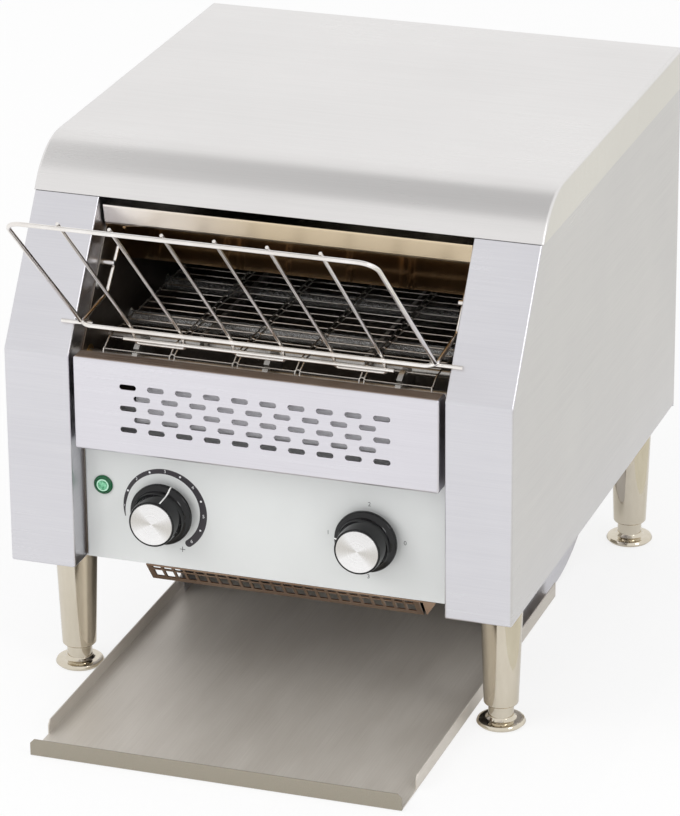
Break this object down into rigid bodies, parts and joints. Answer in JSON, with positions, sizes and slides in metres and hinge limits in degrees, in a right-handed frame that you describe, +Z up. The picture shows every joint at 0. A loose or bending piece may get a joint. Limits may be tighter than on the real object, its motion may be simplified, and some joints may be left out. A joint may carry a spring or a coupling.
{
  "type": "conveyor toaster",
  "caption": "Countertop conveyor toaster: wire belt through a heated tunnel, leaning wire bread rack, control knobs, perforated front cover and a slide-out collecting tray.",
  "frame": {"origin": "on the table surface, under the middle of the whole machine, from the rack's top to the cable gland", "axes": "+X to the machine's right as seen from the front, +Y to the rear, +Z up; the front faces -Y"},
  "size_m": [0.368, 0.549, 0.4036],
  "materials": {
    "casing_steel": "fine horizontal grain, satin",
    "inner_steel": "mill finish, slightly heat-tinted",
    "bright_steel": "bright, lightly brushed",
    "tray_steel": "satin",
    "panel_coating": "pale grey, smooth satin foil",
    "wire_steel": "bright drawn wire",
    "leg_chrome": "polished",
    "shaft_steel": "turned",
    "screw_steel": "zinc-plated",
    "bush_brass": "sintered bronze",
    "knob_black": "glossy black",
    "knob_cap_metal": "spun, circular grain",
    "black_plastic": "matte black",
    "lens_green": "translucent green",
    "quartz": "clear quartz",
    "coil_wire": "oxidised heating wire",
    "ceramic_white": "unglazed",
    "motor_paint": "grey",
    "board_green": "solder mask"
  },
  "bodies": {
    "root": {"top_cover": "casing_steel", "left_side_panel": "casing_steel", "right_side_panel": "casing_steel", "rear_panel": "casing_steel", "front_cover": "casing_steel", "base_plate": "inner_steel", "left_chamber_wall": "inner_steel", "right_chamber_wall": "inner_steel", "control_box_shield": "inner_steel", "inner_heat_shield": "inner_steel", "upper_reflector": "inner_steel", "lower_reflector": "inner_steel", "chute_deflector": "inner_steel", "chute_cheeks": "inner_steel", "lower_guard": "inner_steel", "motor_bracket": "inner_steel", "entry_baffle": "bright_steel", "control_panel": "panel_coating", "rack_stop_pins": "wire_steel", "wire_belt": "wire_steel", "legs": "leg_chrome", "drive_chain": "shaft_steel", "belt_rails": "shaft_steel", "casing_screws": "screw_steel", "front_cover_screws": "screw_steel", "leg_nuts": "screw_steel", "shaft_bushes": "bush_brass", "lamp_bezel": "black_plastic", "cable_gland": "black_plastic", "mode_switch": "black_plastic", "speed_potentiometer": "black_plastic", "lamp_lens": "lens_green", "quartz_tubes": "quartz", "heating_coils": "coil_wire", "tube_caps": "ceramic_white", "terminal_block": "ceramic_white", "gear_motor": "motor_paint", "speed_control_board": "board_green"},
    "front_roller": {"front_shaft": "shaft_steel", "front_belt_wheels": "shaft_steel"},
    "drive_roller": {"drive_shaft": "shaft_steel", "drive_belt_wheels": "shaft_steel", "drive_chain_wheel": "shaft_steel"},
    "motor_output": {"motor_shaft": "shaft_steel", "motor_chain_wheel": "shaft_steel"},
    "speed_control": {"speed_knob": "knob_black", "speed_knob_cap": "knob_cap_metal", "speed_spindle": "shaft_steel"},
    "mode_control": {"mode_knob": "knob_black", "mode_knob_cap": "knob_cap_metal", "mode_spindle": "shaft_steel"},
    "bread_rack": {"rack_frame": "wire_steel", "rack_legs": "wire_steel", "rack_bars": "wire_steel", "rack_pivot_pins": "wire_steel"},
    "tray": {"collecting_tray": "tray_steel"},
    "front_left_foot": {"front_left_foot": "leg_chrome"},
    "front_right_foot": {"front_right_foot": "leg_chrome"},
    "rear_left_foot": {"rear_left_foot": "leg_chrome"},
    "rear_right_foot": {"rear_right_foot": "leg_chrome"}
  },
  "joints": [
    {"name": "drive_roller_turn", "type": "hinge", "parent": "root", "child": "drive_roller", "pos_m": [0, 0.18172, 0.24822], "axis": [-1, 0, 0], "continuous": true, "deforming": ["wire_belt", "drive_chain"]},
    {"name": "front_roller_turn", "type": "hinge", "parent": "root", "child": "front_roller", "pos_m": [0, -0.11828, 0.24822], "axis": [-1, 0, 0], "continuous": true},
    {"name": "motor_output_turn", "type": "hinge", "parent": "root", "child": "motor_output", "pos_m": [0, 0.18172, 0.14422], "axis": [-1, 0, 0], "continuous": true},
    {"name": "speed_knob_turn", "type": "hinge", "parent": "root", "child": "speed_control", "pos_m": [-0.0747, -0.13428, 0.1458], "axis": [0, -1, 0], "range_deg": [-125, 117]},
    {"name": "mode_knob_turn", "type": "hinge", "parent": "root", "child": "mode_control", "pos_m": [0.0747, -0.13428, 0.1458], "axis": [0, -1, 0], "range_deg": [-180, 90]},
    {"name": "bread_rack_lift", "type": "hinge", "parent": "root", "child": "bread_rack", "pos_m": [0, -0.14229, 0.2818], "axis": [-1, 0, 0], "range_deg": [0, 35]},
    {"name": "tray_slide", "type": "slide", "parent": "root", "child": "tray", "axis": [0, -1, 0], "range_m": [0, 0.3]},
    {"name": "front_left_foot_turn", "type": "hinge", "parent": "root", "child": "front_left_foot", "pos_m": [-0.158, -0.09627, 0], "axis": [0, 0, 1], "continuous": true},
    {"name": "front_right_foot_turn", "type": "hinge", "parent": "root", "child": "front_right_foot", "pos_m": [0.158, -0.09627, 0], "axis": [0, 0, 1], "continuous": true},
    {"name": "rear_left_foot_turn", "type": "hinge", "parent": "root", "child": "rear_left_foot", "pos_m": [-0.158, 0.23472, 0], "axis": [0, 0, 1], "continuous": true},
    {"name": "rear_right_foot_turn", "type": "hinge", "parent": "root", "child": "rear_right_foot", "pos_m": [0.158, 0.23472, 0], "axis": [0, 0, 1], "continuous": true}
  ],
  "couplings": [
    {"joint": "front_roller_turn", "follows": "drive_roller_turn", "ratio": 1},
    {"joint": "motor_output_turn", "follows": "drive_roller_turn", "ratio": 1}
  ]
}
